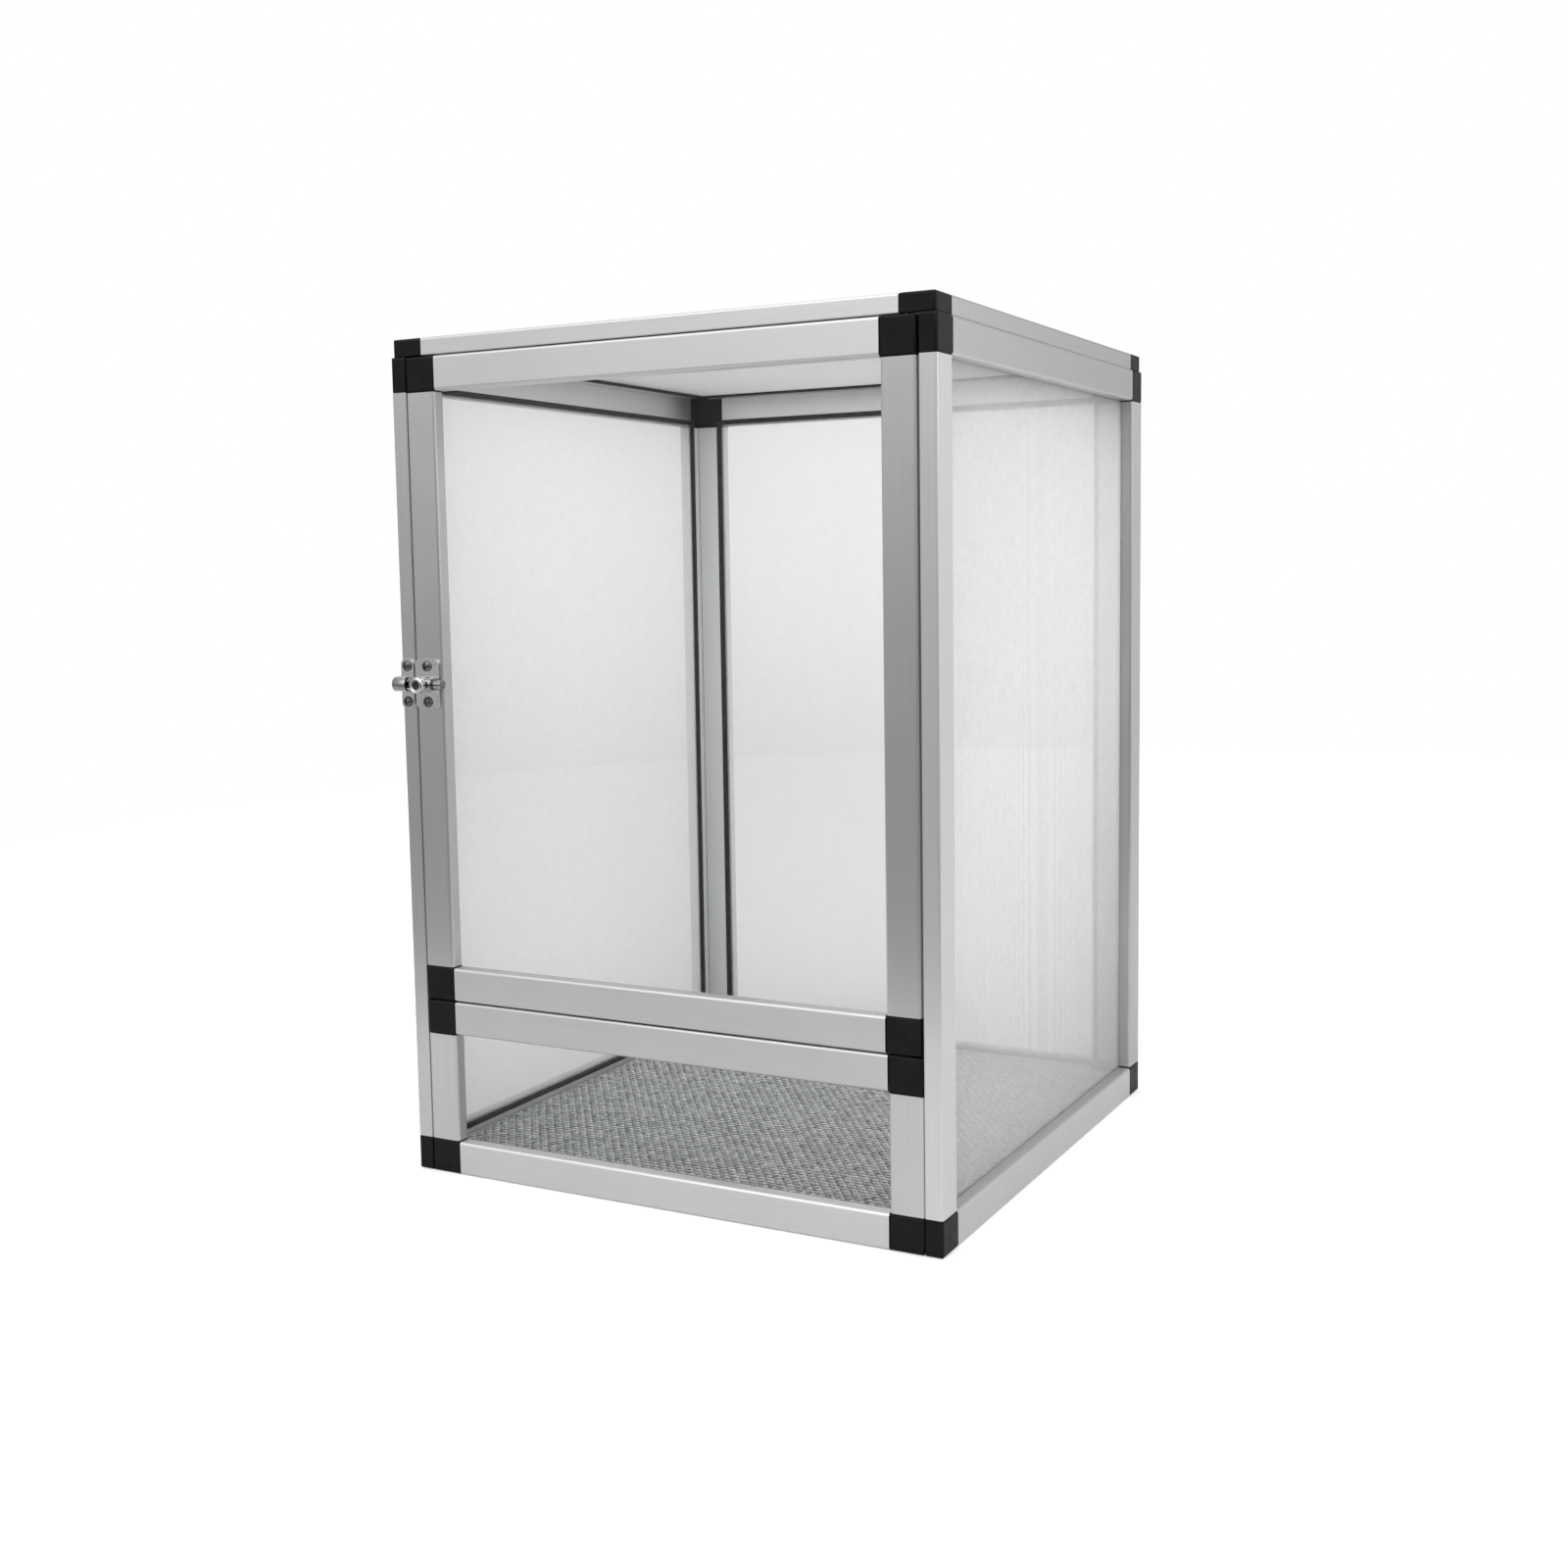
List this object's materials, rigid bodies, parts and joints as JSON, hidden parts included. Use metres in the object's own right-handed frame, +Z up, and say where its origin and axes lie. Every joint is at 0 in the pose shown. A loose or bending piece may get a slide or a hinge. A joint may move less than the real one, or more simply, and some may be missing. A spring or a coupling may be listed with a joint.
{
  "type": "mesh reptile cage",
  "caption": "Upright reptile cage of aluminium screen-frame panels with black corner blocks, mesh walls, top and floor, a clear low front panel and a clear hinged door with a sliding bolt.",
  "frame": {"origin": "on the ground, in the middle of the cage's footprint, not counting the latch", "axes": "+X to the right seen from the front, the door faces -Y, +Z up"},
  "size_m": [0.32, 0.3346, 0.46],
  "materials": {
    "frame_aluminium": "satin anodised, fine lengthwise grain",
    "corner_plastic": "black moulded plastic, low sheen",
    "screen": "fine woven screen, pale grey",
    "floor_wire": "woven galvanised wire",
    "clear_pane": "clear acrylic sheet",
    "spline_rubber": "black rubber cord",
    "latch_steel": "polished plated steel",
    "pin_steel": "plain steel pin"
  },
  "bodies": {
    "frame": {"left_side_bottom_rail": "frame_aluminium", "left_side_top_rail": "frame_aluminium", "left_side_front_stile": "frame_aluminium", "left_side_rear_stile": "frame_aluminium", "left_side_corners": "corner_plastic", "left_side_mesh": "screen", "left_side_spline": "spline_rubber", "right_side_bottom_rail": "frame_aluminium", "right_side_top_rail": "frame_aluminium", "right_side_front_stile": "frame_aluminium", "right_side_rear_stile": "frame_aluminium", "right_side_corners": "corner_plastic", "right_side_mesh": "screen", "right_side_spline": "spline_rubber", "rear_bottom_rail": "frame_aluminium", "rear_top_rail": "frame_aluminium", "rear_left_stile": "frame_aluminium", "rear_right_stile": "frame_aluminium", "rear_corners": "corner_plastic", "rear_mesh": "screen", "rear_spline": "spline_rubber", "top_front_rail": "frame_aluminium", "top_rear_rail": "frame_aluminium", "top_left_rail": "frame_aluminium", "top_right_rail": "frame_aluminium", "top_corners": "corner_plastic", "top_mesh": "screen", "top_spline": "spline_rubber", "floor_front_rail": "frame_aluminium", "floor_rear_rail": "frame_aluminium", "floor_left_rail": "frame_aluminium", "floor_right_rail": "frame_aluminium", "floor_corners": "corner_plastic", "floor_mesh": "floor_wire", "floor_spline": "spline_rubber", "lower_front_bottom_rail": "frame_aluminium", "lower_front_top_rail": "frame_aluminium", "lower_front_left_stile": "frame_aluminium", "lower_front_right_stile": "frame_aluminium", "lower_front_corners": "corner_plastic", "lower_front_pane": "clear_pane", "lower_front_spline": "spline_rubber", "joining_pins": "pin_steel", "hinge_pins": "pin_steel", "hinge_washer": "corner_plastic", "latch_keeper": "latch_steel", "latch_keeper_screws": "latch_steel"},
    "door": {"door_bottom_rail": "frame_aluminium", "door_top_rail": "frame_aluminium", "door_left_stile": "frame_aluminium", "door_right_stile": "frame_aluminium", "door_corners": "corner_plastic", "door_pane": "clear_pane", "door_spline": "spline_rubber", "latch_body": "latch_steel", "latch_body_screws": "latch_steel"},
    "bolt": {"latch_bolt": "latch_steel", "latch_knob": "latch_steel"}
  },
  "joints": [
    {"name": "door_hinge", "type": "hinge", "parent": "frame", "child": "door", "pos_m": [0.14269, -0.15525, 0.2743], "axis": [0, 0, 1], "range_deg": [0, 110]},
    {"name": "bolt_slide", "type": "slide", "parent": "door", "child": "bolt", "axis": [-1, 0, 0], "range_m": [0, 0.005]}
  ]
}
